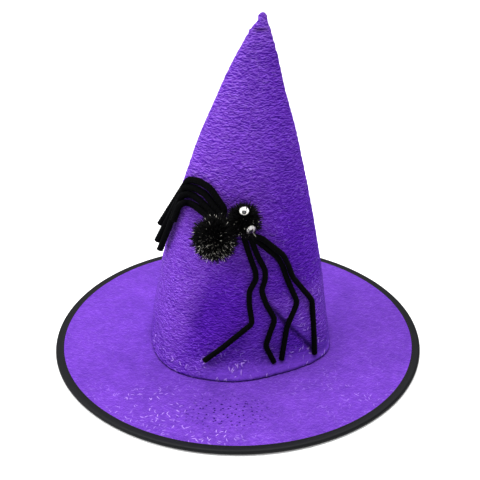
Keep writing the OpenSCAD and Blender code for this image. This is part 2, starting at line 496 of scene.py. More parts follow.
@dataclass(frozen=True)
class CostumeFelt(Finish):
    """Polyester felt, pressed and crinkled: matt pile with painted highlights and painted shade on its
    crinkles.
    """

    name: str = "costume_felt"
    base: str = "#894DD0"
    # The next two colours are painted highlight and painted shade on the crinkles, mixed with the grain's
    # own tone.
    ridge: str = "#B787F6"
    hollow: str = "#5C24B4"
    # The next colour is painted shade, for the crown's side away from the key light and for its sag.
    painted_shade_base: str = "#6A26C0"
    # The next colour is painted light for the foot's front band, and it also lightens the tip.
    patch_tone: str = "#935CE0"
    grain_across: float = 3.4
    grain_up: float = 1.6
    crinkle: float = 1.0
    marks: float = 1.0
    upright: bool = False

    def paint(self, tree: Tree, shader: Node) -> None:
        """Crinkles about grain_across by grain_up millimetres, fibre fuzz, creases and needle pricks, with
        painted light and shade on the crinkles and over zones of the crown.

        Args:
            tree: the node tree.
            shader: the Principled BSDF node.
        """
        place = object_place(tree)
        stretch = (1 / (self.grain_across * MM), 1 / (self.grain_across * MM), 1 / (self.grain_up * MM))
        grain_at = add_node(tree, "ShaderNodeMapping", {"Vector": place, "Scale": stretch}).outputs[0]
        # Painted light and shade: the grain less the same grain looked up a little higher (on the brim, a
        # little further back) colours one side of each crinkle lighter and the other darker, as if lit from
        # above.
        beside = (0, 0, 0.42) if self.upright else (0, 0.42, 0)
        emboss_at = add_node(tree, "ShaderNodeMapping", {"Vector": grain_at, "Location": beside}).outputs[0]
        grain = noise(tree, grain_at, 0.9, 2.0, 0.5, 0.9)
        over = noise(tree, emboss_at, 0.9, 2.0, 0.5, 0.9)
        broad = noise(tree, grain_at, 0.35, 2.0, 0.5, 0.4)
        fibre = noise(tree, place, 2400.0, 2.0)
        cloud = noise(tree, place, 22.0, 3.0, 0.6)
        marks = self.crows_feet(tree, place)
        prick = self.pricks(tree, place)

        height_m = add_node(tree, "ShaderNodeSeparateXYZ", {0: place}).outputs[2]
        # The painted emboss grows stronger towards the tip, and the tone is lifted lighter near the tip.
        emboss_gain = remap(tree, height_m, 0.15, 0.33, 1.7, 5.0)
        slope = maths(tree, "MULTIPLY", maths(tree, "SUBTRACT", grain, over), emboss_gain)
        middle = maths(tree, "MULTIPLY_ADD", grain, 0.6, remap(tree, height_m, 0.3, 0.335, 0.2, 0.32))
        face = maths(tree, "ADD", slope, middle)
        tone = ramp(tree, face, [(0.05, self.hollow), (0.46, self.base), (0.95, self.ridge)])
        colour = blend_colour(tree, min(1.0, self.crinkle), self.base, tone)
        # Painted shade: darker tones where this zone attribute is high.
        painted_shade = attribute(tree, "painted_shade_zone")
        painted_shade_tones = ramp(tree, face, [(0.12, "#430A90"), (0.48, self.painted_shade_base), (0.88, "#8C4CE0")])
        colour = blend_colour(tree, painted_shade, colour, painted_shade_tones)
        # Painted light on the foot's front band, and a lighter tip.
        lighter_foot_and_tip = attribute(tree, "lighter_foot_and_tip")
        colour = blend_colour(tree, lighter_foot_and_tip, colour, self.patch_tone)
        half = maths(tree, "MULTIPLY", cloud, 0.5)
        patches = maths(tree, "ADD", half, maths(tree, "MULTIPLY", broad, 0.5))
        shade = ramp(tree, patches, [(0.35, "#E0E0E6"), (0.65, "#FFFFFF")])
        colour = blend_colour(tree, 1.0, colour, shade, "MULTIPLY")
        speck = ramp(tree, fibre, [(0.3, "#E2E2E2"), (0.7, "#FFFFFF")])
        colour = blend_colour(tree, 1.0, colour, speck, "MULTIPLY")
        colour = blend_colour(tree, maths(tree, "MULTIPLY", marks, 0.85), colour, "#D3B2FC")
        colour = blend_colour(tree, maths(tree, "MULTIPLY", prick, 0.85), colour, "#2F0F70")
        # Painted shade: a dark line at the crown's foot, in the front fold and at the crimp.
        seam = attribute(tree, "seam")
        colour = blend_colour(tree, seam, colour, "#22083F")

        lumps = maths(tree, "ADD", grain, maths(tree, "MULTIPLY", broad, 0.9))
        height = maths(tree, "MULTIPLY", lumps, self.crinkle)
        height = maths(tree, "ADD", height, maths(tree, "MULTIPLY", fibre, 0.08))
        height = maths(tree, "ADD", height, maths(tree, "MULTIPLY", marks, 0.5))
        height = maths(tree, "SUBTRACT", height, maths(tree, "MULTIPLY", prick, 0.8))
        gloss = maths(tree, "SUBTRACT", 0.8, maths(tree, "MULTIPLY", marks, 0.3))
        self.settle(
            tree,
            shader,
            height,
            depth=1.0 * MM,
            strength=0.9,
            Base_Color=colour,
            Roughness=gloss,
            IOR=1.5,
            Specular_IOR_Level=0.08,
            Sheen_Weight=0.04,
            Sheen_Roughness=0.5,
            Sheen_Tint=linear("#B98CFF"),
        )

    def cells(self, tree: Tree, place: Socket, scale: float, shift: float) -> tuple[Socket, Node]:
        """Flat Voronoi cells over the piece's plane, each with a random place and colour.

        Args:
            tree: the node tree.
            place: where the pattern is looked up.
            scale: features a metre.
            shift: offset that gives each pattern its own cells.

        Returns:
            The flattened position and the Voronoi node.
        """
        split = add_node(tree, "ShaderNodeSeparateXYZ", {0: place})
        second = split.outputs[2] if self.upright else split.outputs[1]
        plane = {0: maths(tree, "ADD", split.outputs[0], shift), 1: second}
        flat = add_node(tree, "ShaderNodeCombineXYZ", plane).outputs[0]
        inputs = {"Vector": flat, "Scale": scale}
        return flat, add_node(tree, "ShaderNodeTexVoronoi", inputs, voronoi_dimensions="2D")

    def dashes(self, tree: Tree, place: Socket, scale: float, shift: float, rare: float) -> Socket:
        """One short bent crease in each cell that is picked, at a random turn.

        In the cell's own turned axes u and v, the crease is where |u| is under a length and
        |v + c u^2| is under a width.

        Args:
            tree: the node tree.
            place: where the pattern is looked up.
            scale: features a metre.
            shift: offset that gives each pattern its own cells.
            rare: share of cells left empty.

        Returns:
            The creases, 1 where they show.
        """
        flat, cell = self.cells(tree, place, scale, shift)
        chance = add_node(tree, "ShaderNodeSeparateColor", {0: cell.outputs["Color"]})
        ends = {0: flat, 1: cell.outputs["Position"]}
        spot = add_node(tree, "ShaderNodeVectorMath", ends, operation="SUBTRACT")
        near = add_node(tree, "ShaderNodeSeparateXYZ", {0: spot.outputs[0]})
        turn = maths(tree, "MULTIPLY", chance.outputs[0], math.pi)
        cos, sin = maths(tree, "COSINE", turn), maths(tree, "SINE", turn)
        x, y = near.outputs[0], near.outputs[1]
        u = maths(tree, "ADD", maths(tree, "MULTIPLY", x, cos), maths(tree, "MULTIPLY", y, sin))
        v = maths(tree, "SUBTRACT", maths(tree, "MULTIPLY", y, cos), maths(tree, "MULTIPLY", x, sin))
        v = maths(tree, "ADD", v, maths(tree, "MULTIPLY", maths(tree, "MULTIPLY", u, u), 60.0))
        along = remap(tree, maths(tree, "ABSOLUTE", u), 0.9 * MM, 2.5 * MM, 1.0, 0.0, smooth=True)
        across = remap(tree, maths(tree, "ABSOLUTE", v), 0.15 * MM, 0.7 * MM, 1.0, 0.0, smooth=True)
        picked = maths(tree, "GREATER_THAN", chance.outputs[1], rare)
        return maths(tree, "MULTIPLY", maths(tree, "MULTIPLY", along, across), picked)

    def crows_feet(self, tree: Tree, place: Socket) -> Socket:
        """Short bright creases that cross now and then, where the crease attribute is high.

        Args:
            tree: the node tree.
            place: where the pattern is looked up.

        Returns:
            The creases' strength.
        """
        zone = attribute(tree, "crease")
        first = self.dashes(tree, place, 130.0, 11.3, 0.45)
        second = self.dashes(tree, place, 150.0, 5.9, 0.5)
        third = self.dashes(tree, place, 105.0, 17.7, 0.45)
        crossed = maths(tree, "MAXIMUM", maths(tree, "MAXIMUM", first, second), third)
        patchy = remap(tree, noise(tree, place, 60.0, 2.0), 0.42, 0.58, smooth=True)
        zoned = maths(tree, "MULTIPLY", maths(tree, "MULTIPLY", crossed, patchy), zone)
        return maths(tree, "MULTIPLY", zoned, self.marks)

    def pricks(self, tree: Tree, place: Socket) -> Socket:
        """Needle pricks about 1.2 mm wide and 6 mm apart, where the prick attribute is high.

        Args:
            tree: the node tree.
            place: where the pattern is looked up.

        Returns:
            The pricks' strength.
        """
        zone = attribute(tree, "prick")
        _, cell = self.cells(tree, place, 165.0, 1.3)
        dot = remap(tree, cell.outputs["Distance"], 0.08, 0.17, 1.0, 0.0, smooth=True)
        return maths(tree, "MULTIPLY", dot, zone)


@dataclass(frozen=True)
class SatinTape(Finish):
    """Black polyester satin bias tape: smooth, with a grey gleam along the fold."""

    name: str = "satin_tape"

    def paint(self, tree: Tree, shader: Node) -> None:
        """Diagonal floats drawn 0.9 mm apart, coarser than the real thread so that they show.

        Args:
            tree: the node tree.
            shader: the Principled BSDF node.
        """
        uv = add_node(tree, "ShaderNodeUVMap").outputs[0]
        turned = {"Vector": uv, "Rotation": (0, 0, math.radians(45))}
        lean = add_node(tree, "ShaderNodeMapping", turned).outputs[0]
        floats = {"Vector": lean, "Scale": 1 / (0.9 * MM) / TAU * 2, "Distortion": 0.4, "Detail": 1.0}
        weave = add_node(tree, "ShaderNodeTexWave", floats).outputs["Fac"]
        drawn = {"Vector": uv, "Scale": (60.0, 900.0, 1.0)}
        streak_at = add_node(tree, "ShaderNodeMapping", drawn).outputs[0]
        streak = noise(tree, streak_at, 1.0, 3.0)
        colour = ramp(tree, streak, [(0.3, "#0C0D10"), (0.7, "#17181D")])
        colour = blend_colour(tree, maths(tree, "MULTIPLY", weave, 0.25), colour, "#202427")
        rough = maths(tree, "ADD", 0.45, maths(tree, "MULTIPLY", streak, 0.2))
        height = maths(tree, "ADD", weave, maths(tree, "MULTIPLY", streak, 0.8))
        self.settle(
            tree, shader, height, depth=0.10 * MM, strength=0.6,
            Base_Color=colour, Roughness=rough, IOR=1.53, Specular_IOR_Level=0.3,
        )


@dataclass(frozen=True)
class Ribbon(Finish):
    """Black grosgrain ribbon: matt, with ribs across it."""

    name: str = "grosgrain_ribbon"

    def paint(self, tree: Tree, shader: Node) -> None:
        """Ribs 1.1 mm apart round the head opening, from the angle in Object coordinates.

        Args:
            tree: the node tree.
            shader: the Principled BSDF node.
        """
        place = object_place(tree)
        split = add_node(tree, "ShaderNodeSeparateXYZ", {0: place})
        angle = maths(tree, "ARCTAN2", split.outputs[1], split.outputs[0])
        ribs = maths(tree, "SINE", maths(tree, "MULTIPLY", angle, 470.0))
        fibre = noise(tree, place, 1800.0, 2.0)
        colour = ramp(tree, fibre, [(0.3, "#0C0C0E"), (0.7, "#1B1B1F")])
        self.settle(
            tree, shader, maths(tree, "ADD", ribs, fibre), depth=0.2 * MM, strength=0.7,
            Base_Color=colour, Roughness=0.8, IOR=1.5, Sheen_Weight=0.2,
        )


@dataclass(frozen=True)
class Thread(Finish):
    """Spun polyester sewing thread: two plies, slightly glossy."""

    name: str = "thread"
    colour: str = "#4A2199"

    def paint(self, tree: Tree, shader: Node) -> None:
        """Twist ridges drawn 0.5 mm apart.

        Args:
            tree: the node tree.
            shader: the Principled BSDF node.
        """
        place = object_place(tree)
        ridges = {"Vector": place, "Scale": 320.0, "Distortion": 3.0}
        twist = add_node(tree, "ShaderNodeTexWave", ridges).outputs["Fac"]
        tone = blend_colour(tree, maths(tree, "MULTIPLY", twist, 0.35), self.colour, "#000000")
        self.settle(
            tree, shader, twist, depth=0.1 * MM, Base_Color=tone, Roughness=0.5, IOR=1.53, Sheen_Weight=0.1,
        )


@dataclass(frozen=True)
class Tinsel(Finish):
    """Black metallised film cut in narrow strips: each flat flashes, and near-white patches on some strips
    are painted glints.
    """

    name: str = "tinsel_film"

    def paint(self, tree: Tree, shader: Node) -> None:
        """The glint attribute, one number a strip, turns black film near-white above about 0.9: a painted
        glint.

        Args:
            tree: the node tree.
            shader: the Principled BSDF node.
        """
        glint = attribute(tree, "glint")
        colour = ramp(tree, glint, [(0.0, "#020203"), (0.82, "#08080A"), (0.88, "#F6F4EA")])
        place = object_place(tree)
        crimp = noise(tree, place, 1500.0, 1.0)
        metal = maths(tree, "MULTIPLY", maths(tree, "GREATER_THAN", glint, 0.86), 0.6)
        rough = maths(tree, "ADD", 0.35, maths(tree, "MULTIPLY", crimp, 0.3))
        self.settle(
            tree, shader, crimp, depth=0.15 * MM, strength=0.5,
            Base_Color=colour, Roughness=rough, Metallic=metal, Specular_IOR_Level=0.2,
        )


@dataclass(frozen=True)
class Pile(Finish):
    """Black rayon pile of a pipe cleaner: deep matt black with a faint cool sheen."""

    name: str = "pipe_cleaner_pile"

    def paint(self, tree: Tree, shader: Node) -> None:
        """Fibre tips vary a little in tone at 0.4 mm.

        Args:
            tree: the node tree.
            shader: the Principled BSDF node.
        """
        place = object_place(tree)
        fibre = noise(tree, place, 1300.0, 2.0)
        colour = ramp(tree, fibre, [(0.3, "#020203"), (0.75, "#0A0B0F")])
        self.settle(
            tree, shader, fibre, depth=0.3 * MM, strength=0.6,
            Base_Color=colour, Roughness=0.9, IOR=1.47, Specular_IOR_Level=0.15,
            Sheen_Weight=0.02, Sheen_Roughness=0.4, Sheen_Tint=linear("#AFC0E8"),
        )


@dataclass(frozen=True)
class Steel(Finish):
    """Drawn spring steel wire: grey metal with fine lines along it."""

    name: str = "drawn_steel"

    def paint(self, tree: Tree, shader: Node) -> None:
        """Faint drawing marks 0.3 mm apart.

        Args:
            tree: the node tree.
            shader: the Principled BSDF node.
        """
        place = object_place(tree)
        scratch = noise(tree, place, 3000.0, 2.0)
        colour = ramp(tree, scratch, [(0.3, "#8C8F94"), (0.7, "#B4B7BC")])
        self.settle(
            tree, shader, scratch, depth=0.02 * MM, Base_Color=colour, Metallic=1.0, Roughness=0.32,
        )


@dataclass(frozen=True)
class Stiffener(Finish):
    """Needled non-woven interlining: grey tangled fibre."""

    name: str = "needled_interlining"

    def paint(self, tree: Tree, shader: Node) -> None:
        """Fibre tangle at 1 mm and needle dimples 3 mm apart.

        Args:
            tree: the node tree.
            shader: the Principled BSDF node.
        """
        place = object_place(tree)
        tangle = noise(tree, place, 900.0, 4.0, 0.7, 1.5)
        needled = {"Vector": place, "Scale": 330.0}
        dimple = add_node(tree, "ShaderNodeTexVoronoi", needled).outputs["Distance"]
        colour = ramp(tree, tangle, [(0.3, "#3A3A40"), (0.7, "#5A5A62")])
        self.settle(
            tree, shader, maths(tree, "ADD", tangle, dimple), depth=0.3 * MM,
            Base_Color=colour, Roughness=0.95, IOR=1.5,
        )


@dataclass(frozen=True)
class HotGlue(Finish):
    """Hot-melt glue: milky, slightly see-through and smooth."""

    name: str = "hot_melt_glue"

    def paint(self, tree: Tree, shader: Node) -> None:
        """Soft lumps 4 mm across from setting.

        Args:
            tree: the node tree.
            shader: the Principled BSDF node.
        """
        place = object_place(tree)
        lump = noise(tree, place, 250.0, 2.0)
        colour = ramp(tree, lump, [(0.3, "#D8D2BC"), (0.7, "#EFEAD8")])
        self.settle(
            tree, shader, lump, depth=0.4 * MM, Base_Color=colour, Roughness=0.3, IOR=1.48,
            Transmission_Weight=0.35,
        )


@dataclass(frozen=True)
class GlossPlastic(Finish):
    """Moulded polystyrene: glossy, with faint mould texture and handling marks."""

    name: str = "gloss_plastic"
    colour: str = "#F3F2EE"
    patch_tone: str = "#DCDAD2"

    def paint(self, tree: Tree, shader: Node) -> None:
        """Tone varies over about 2 mm, and the gloss over about 1 mm.

        Args:
            tree: the node tree.
            shader: the Principled BSDF node.
        """
        place = object_place(tree)
        cloud = noise(tree, place, 500.0, 2.0)
        colour = ramp(tree, cloud, [(0.35, self.patch_tone), (0.6, self.colour)])
        rough = maths(tree, "ADD", 0.18, maths(tree, "MULTIPLY", noise(tree, place, 1100.0), 0.15))
        self.settle(
            tree, shader, cloud, depth=0.03 * MM, Base_Color=colour, Roughness=rough, IOR=1.59,
        )


@dataclass(frozen=True)
class ClearPlastic(Finish):
    """Vacuum-formed clear PVC of a wobbly eye's dome: thin and glossy."""

    name: str = "clear_dome"

    def paint(self, tree: Tree, shader: Node) -> None:
        """Almost no tint, with a faint forming ripple.

        Args:
            tree: the node tree.
            shader: the Principled BSDF node.
        """
        place = object_place(tree)
        ripple_height = noise(tree, place, 700.0, 1.0)
        self.settle(
            tree, shader, ripple_height, depth=0.02 * MM, strength=0.4,
            Base_Color=linear("#FFFFFF"), Roughness=0.05, IOR=1.2, Transmission_Weight=1.0, Alpha=0.12,
        )


@dataclass(frozen=True)
class StudioPaper(Finish):
    """White background paper: matt, almost even."""

    name: str = "studio_paper"

    def paint(self, tree: Tree, shader: Node) -> None:
        """Faint cloudiness over half a metre.

        Args:
            tree: the node tree.
            shader: the Principled BSDF node.
        """
        place = object_place(tree)
        cloud = noise(tree, place, 2.0, 2.0)
        colour = ramp(tree, cloud, [(0.3, "#EAEAEA"), (0.7, "#F0F0F0")])
        self.settle(
            tree, shader,
            Base_Color=colour, Roughness=0.9, Emission_Color=colour, Emission_Strength=0.25,
        )


CROWN_FELT = CostumeFelt(name="crinkled_crown_felt", upright=True)
BRIM_FELT = CostumeFelt(
    name="pressed_brim_felt", base="#8452C6", crinkle=0.32, grain_across=2.4, grain_up=2.4
)
LINING_FELT = CostumeFelt(
    name="plain_lining_felt", base="#5F2FB0", ridge="#7C4CCC", hollow="#3A1585", crinkle=0.2, marks=0.0
)
PURPLE_THREAD = Thread(name="purple_thread")
BLACK_THREAD = Thread(name="black_thread", colour="#1A1B1E")
EYE_WHITE = GlossPlastic(name="white_eye_plastic")
EYE_BLACK = GlossPlastic(name="black_eye_plastic", colour="#060607", patch_tone="#0D0D0F")


# ---------------------------------------------------------------- the studio


@dataclass
class Studio:
    """Camera, lights, floor and the sky that fills the shadows."""

    aim: tuple[float, float, float] = (0.0022, 0.0, 0.1121)
    reach: float = 0.843
    elevation: float = 27.43
    lens: float = 63.0
    floor_half: float = 6.0

    def camera(self) -> None:
        """The camera looks along +Y and down on the hat from its front."""
        data = bpy.data.cameras.new("camera")
        data.lens = self.lens
        data.sensor_width = 36.0
        data.clip_start = 0.01
        data.clip_end = 50.0
        camera = bpy.data.objects.new("camera", data)
        pitch = math.radians(self.elevation)
        x, y, z = self.aim
        camera.location = (x, y - self.reach * math.cos(pitch), z + self.reach * math.sin(pitch))
        camera.rotation_euler = (math.pi / 2 - pitch, 0, 0)
        bpy.context.scene.collection.objects.link(camera)
        bpy.context.scene.camera = camera

    def softbox(self, name: str, place: Point, aim: Point, size: float, power: float) -> None:
        """A square area light at a place, turned to an aim point.

        Args:
            name: the light's name.
            place: where the light stands.
            aim: the point that it faces.
            size: length of its side.
            power: its strength.
        """
        data = bpy.data.lights.new(name, "AREA")
        data.shape = "SQUARE"
        data.size = size
        data.energy = power
        data.color = (1.0, 1.0, 1.0)
        light = bpy.data.objects.new(name, data)
        light.location = place
        direction = Vector(aim) - Vector(place)
        light.rotation_euler = direction.to_track_quat("-Z", "Y").to_euler()
        bpy.context.scene.collection.objects.link(light)

    def ceiling(self, power: float = 3.4, spread: float = 60.0) -> None:
        """An even wash from a large bright ceiling, a little from the left and from behind.

        Args:
            power: its strength.
            spread: apparent width in degrees.
        """
        data = bpy.data.lights.new("ceiling", "SUN")
        data.energy = power
        data.angle = math.radians(spread)
        light = bpy.data.objects.new("ceiling", data)
        light.rotation_euler = (-Vector((0.03, 0.2, 1.0))).to_track_quat("-Z", "Y").to_euler()
        bpy.context.scene.collection.objects.link(light)

    def floor(self) -> None:
        """A wide sheet of white paper under the hat."""
        h = self.floor_half
        corners = np.array([[-h, -h, 0], [h, -h, 0], [h, h, 0], [-h, h, 0]], dtype=float)
        paper = build("studio_floor", corners, quads=np.array([[0, 1, 2, 3]]))
        paper.data.materials.append(StudioPaper().material())

    def make(self) -> None:
        """Builds the studio."""
        self.camera()
        self.floor()
        self.softbox("key_left", (-1.45, -0.3, 1.3), (0, 0, 0.12), 1.0, 19.0)
        self.softbox("front_fill", (0.3, -1.7, 1.3), (0, 0, 0.12), 1.2, 8.0)
        self.ceiling()
        world = bpy.data.worlds.new("sky")
        world.use_nodes = True
        background = world.node_tree.nodes["Background"]
        background.inputs["Color"].default_value = linear("#FFFFFF")
        rays = add_node(world.node_tree, "ShaderNodeLightPath").outputs["Is Camera Ray"]
        strength = remap(world.node_tree, rays, 0.0, 1.0, 0.25, 1.0)
        world.node_tree.links.new(strength, background.inputs["Strength"])
        bpy.context.scene.world = world
        view = bpy.context.scene.view_settings
        view.view_transform = "Standard"
        view.gamma = 0.8
        LOG.info("studio ready")


# ---------------------------------------------------------------- the crown


@dataclass
class Crown:
    """The soft felt cone: a closed shell that slumps at its front right and creases at its tip."""

    foot: float
    top: float
    apex: float = 0.345
    half_width: float = 0.094
    half_depth: float = 0.0935
    wall: float = 1.8 * MM
    lean: float = 0.021
    crimp_z: float = 0.3235
    roof_z: float = 0.322
    inner_top: float = 0.318
    columns: int = 320
    outer_rows: int = 232
    inner_rows: int = 34

    def oval(self, z: Array) -> tuple[Array, Array, Array]:
        """Half width, half depth and centre of the section at height z.

        With q the share of the way to the apex, the half width is W(1-q)(1+0.59q), and the depth
        is drawn in as the width spreads, so that the cloth's way round shrinks evenly to the tip.

        Args:
            z: heights in metres.

        Returns:
            Half width, half depth and centre.
        """
        q = np.clip(z / self.apex, 0, 1)
        t = 0.59 * q
        wide = self.half_width * (1 - q) * (1 + t)
        deep = self.half_depth * (1 - q) * (1 - t - 0.67 * t * t) + 2.5 * MM * q
        return wide, deep, 2 * MM + self.lean * q**2.2

    def slump(self, a: Array, z: Array) -> Array:
        """Share of the oval: a bell-shaped dent at the front right, corners beside it, and a dimple.

        Args:
            a: angles round the cone in degrees.
            z: heights in metres.

        Returns:
            The share at each point.
        """
        mm = z / MM
        dent = -0.165 * bell(a + 66, np.where(a < -66, 30, 27))
        corners = 0.035 * bell(a + 24, 12) + 0.035 * bell(a + 132, 18)
        back = 0.09 * np.maximum(0, np.sin(np.radians(a))) * bell(mm, 150)
        dimple = -0.055 * bell(a + 112, 15) * bell(mm - 62, 26)
        return 1 + (dent + corners) * bell(mm, 55) + back + dimple

    def smooth_surface(self, a: Array, z: Array, inset: float | Array) -> Array:
        """Points of the slumped cone at angle a and height z, inset from the felt's face.

        Args:
            a: angles round the cone in degrees.
            z: heights in metres.
            inset: distance inwards from the felt's face.

        Returns:
            The points.
        """
        wide, deep, centre = self.oval(z)
        share = self.slump(a, z)
        x = centre + (wide * share - inset) * np.cos(np.radians(a))
        y = (deep * share - inset) * np.sin(np.radians(a))
        return np.stack([x, y, np.broadcast_to(z, x.shape)], axis=-1)

    def relief(self, points: Array, a: Array) -> Array:
        """Outward relief of the felt in metres: a fold, a sag, a lip at the foot, and wrinkles.

        A fold is a bell-shaped groove about a straight line in the plane of x and z. Wrinkles near
        the tip and crinkles all over are ripples that are shorter up than across.

        Args:
            points: positions, with x, y and z on the last axis.
            a: angles round the cone in degrees.

        Returns:
            Distance outwards at each point.
        """
        x, z = points[..., 0], points[..., 2]
        front = smooth_step(0.1, 0.5, -np.sin(np.radians(a)))
        groove = -3.6 * MM * self.fold(x, z, (28, 74), (78, 11), 2.2) * front
        bulge = 3.2 * MM * self.fold(x, z, (41, 76), (90, 20), 11.0) * front
        drape = -1.3 * MM * self.fold(x, z, (20, 178), (72, 126), 5.0) * front
        drape -= 0.8 * MM * self.fold(x, z, (34, 150), (76, 112), 4.0) * front
        sag = -5.5 * MM * bell(a + 104, 17) * bell(z - 0.056, 0.03)
        corner = 2.0 * MM * bell(a + 141, 16) * bell(z - 0.05, 0.045)
        lip = 2.4 * MM * bell(z - 0.004, 0.012) * smooth_step(-0.1, 0.6, -np.sin(np.radians(a)))
        flare = 9.0 * MM * bell(a + 66, 33) * np.clip(1 - (z - self.foot) / 0.017, 0, 1) ** 1.6
        seam = -1.2 * MM * bell((a - 90) * np.radians(1) * 0.09, 1.3 * MM)
        waves = 0.7 * MM * ripple(points, 0.085, 1.0, 3, 24) * smooth_step(0.01, 0.05, z)
        tip = smooth_step(0.26, 0.33, z)
        wrinkles = 0.28 * MM * ripple(points, 0.02, 3.0, 5, 30) * tip
        left = smooth_step(0.1, 0.8, -np.cos(np.radians(a)))
        crimp = 0.9 * MM * bell(z - self.crimp_z, 0.0014) * front
        step = -1.5 * MM * bell(z - 0.3305, 0.0030) * left - crimp
        crinkles = 0.26 * MM * ripple(points, 0.0072, 2.0, 7, 60)
        fold_relief = groove + bulge + drape + sag + corner + lip + flare + seam
        return fold_relief + waves * (1 - tip) + wrinkles + step + crinkles

    @staticmethod
    def fold(
        x: Array, z: Array, start: tuple[float, float], end: tuple[float, float], width: float
    ) -> Array:
        """A bell of a width in mm about the line from start to end, fading at both ends.

        Args:
            x: x of the points.
            z: heights in metres.
            start: x and z of the line's start in mm.
            end: x and z of the line's end in mm.
            width: half width of the bell in mm.

        Returns:
            The bell's value at each point.
        """
        p = np.array(start) * MM
        run = np.array(end) * MM - p
        length = math.hypot(*run)
        along = ((x - p[0]) * run[0] + (z - p[1]) * run[1]) / length
        off = ((x - p[0]) * run[1] - (z - p[1]) * run[0]) / length
        fade = 1 - smooth_step(length - 0.004, length + 0.006, along)
        ends = smooth_step(-0.006, 0.02, along) * fade
        return bell(off, width * MM) * ends

    def make(self) -> Piece:
        """The crown's shell, one grid from the inner roof down, round the foot and up to the tip.

        Returns:
            What was built.
        """
        even = np.arange(self.columns) * 360 / self.columns - 180
        a = (even - np.degrees(0.45) * np.sin(np.radians(even + 90)))[None, :]
        cap = 4 * MM
        below = np.linspace(self.foot, self.top - cap, self.outer_rows)
        over = self.top - cap + cap * np.sin(np.radians(np.linspace(6, 86, 14)))
        z_out = np.concatenate([below, over])[:, None]
        round_off = np.sqrt(np.clip(1 - (np.clip(z_out - self.top + cap, 0, None) / cap) ** 2, 0.0, 1))
        nub = 0.5 * MM * smooth_step(0.318, 0.334, z_out)
        centre = self.oval(z_out)[2] + nub
        outer = self.smooth_surface(a, np.minimum(z_out, self.top - cap), 0)
        outer[..., 2] = z_out
        outer[..., 0] += nub
        middle = np.stack([centre + 0 * a, 0 * centre + 0 * a, z_out + 0 * a], axis=-1)
        radial = unit((outer - middle) * np.array([1, 1, 0]))
        slim = 1 - 0.18 * smooth_step(0.322, 0.332, z_out)[..., None]
        lift = self.relief(outer, a) - 1.5 * MM * bell(z_out - self.foot, 1.1 * MM)
        outer = middle + (outer + radial * lift[..., None] - middle) * round_off[..., None] * slim
        fall = np.linspace(1, 0, self.inner_rows)[:, None]
        z_in = self.foot + (self.inner_top - self.foot) * fall
        inner = self.smooth_surface(a, z_in, self.wall + 0.6 * MM)
        rows = np.concatenate([inner, outer], axis=0)
        roof = [self.oval(np.array(self.roof_z))[2], 0, self.roof_z]
        tip = [float(centre[-1, 0]), 0, self.top + 0.02 * MM]
        x, z = rows[..., 0], rows[..., 2]
        front = rows[..., 1] < -0.002
        # Painted shade, kept in the seam attribute: a dark line at the crown's foot where it meets the
        # brim, along the front fold's groove and at the crimp near the tip.
        fold = 0.85 * self.fold(x, z, (28, 74), (78, 11), 1.9) * front
        seam = np.maximum(0.95 * bell(z - self.foot, 1.5 * MM), fold)
        middle_x = self.oval(np.array(self.crimp_z))[2]
        crimp = 0.9 * bell(z - self.crimp_z, 1.3 * MM) * bell(x - middle_x, 0.007) * front
        seam = np.maximum(seam, crimp)
        # Colour zones: crease marks, painted shade at the foot and folds, painted shade on the right side
        # and in the sag, and painted light on the foot's front band with a lighter tip.
        zones = {
            "crease": self.crease_zone(rows),
            "seam": seam,
            "painted_shade_zone": self.painted_shade_zone(rows),
            "lighter_foot_and_tip": self.lighter_foot_and_tip(rows),
        }
        values = {key: np.append(zone.ravel(), [0, 0]) for key, zone in zones.items()}
        piece = closed_grid("crown", rows, [roof, tip], values)
        return dress(piece, CROWN_FELT, "hat", ("crown_felt",))

    def seam_flaps(self) -> Piece:
        """The back seam's two allowances inside the crown, pressed open: thin closed strips.

        Returns:
            Both flaps as one object.
        """
        z = np.linspace(self.foot + 7 * MM, 0.27, 90)[:, None]
        section = np.array([[0.6, 0.1], [6.0, 0.3], [6.1, 0.9], [0.6, 1.2]]) * MM
        strips = []
        for sign in (-1, 1):
            loop = section if sign > 0 else section[::-1]
            radius = np.maximum(self.oval(z)[0], 0.012)
            angle = 90 + sign * np.degrees(loop[:, 0][None, :] / radius)
            wave = 0.3 * MM * np.sin(z * 210 + sign)
            strips.append(self.smooth_surface(angle, z, self.wall + 0.7 * MM + loop[:, 1][None, :] + wave))
        points = np.concatenate(strips)
        rows = len(z)
        count = rows * len(section)
        caps = [[3, 2, 1, 0], [count - 4, count - 3, count - 2, count - 1]]
        one = np.concatenate([grid_faces(rows, len(section)), caps])
        return build("crown_seam_flaps", points, repeated(one, 2, count))

    def seam_stitches(self) -> Piece:
        """Small lock stitches that show in the back seam's groove.

        Returns:
            All stitches as one object.
        """
        z = np.arange(self.foot + 8 * MM, self.roof_z, 3.6 * MM)[:, None]
        places = self.smooth_surface(np.array([[90.0]]), z, 1.0 * MM)[:, 0, :]
        along = unit(np.gradient(places, axis=0))
        back = np.array([0.0, 1.0, 0.0])
        return stitch_row("crown_seam_stitches", places, along, back, 2.5 * MM, 0.5 * MM)

    def painted_shade_zone(self, points: Array) -> Array:
        """Painted shade: the crown's right side, away from the key light, and the sag are coloured darker.

        Args:
            points: positions, with x, y and z on the last axis.

        Returns:
            Strength from 0 to 1.
        """
        x, y, z = points[..., 0], points[..., 1], points[..., 2]
        share = (x - self.oval(z)[2]) / np.maximum(self.oval(z)[0], 0.004)
        rise = smooth_step(0.13, 0.21, z)
        side = 0.3 * smooth_step(-0.75, -0.1, share) + 0.6 * smooth_step(0.1, 0.7, share) * (1 - 0.5 * rise)
        side = side * smooth_step(-0.035, 0.005, -y) * (1 - smooth_step(0.3, 0.33, z))
        sag = bell(x + 0.02 - 0.35 * (z - 0.06), 0.045) * bell(z - 0.056, 0.054)
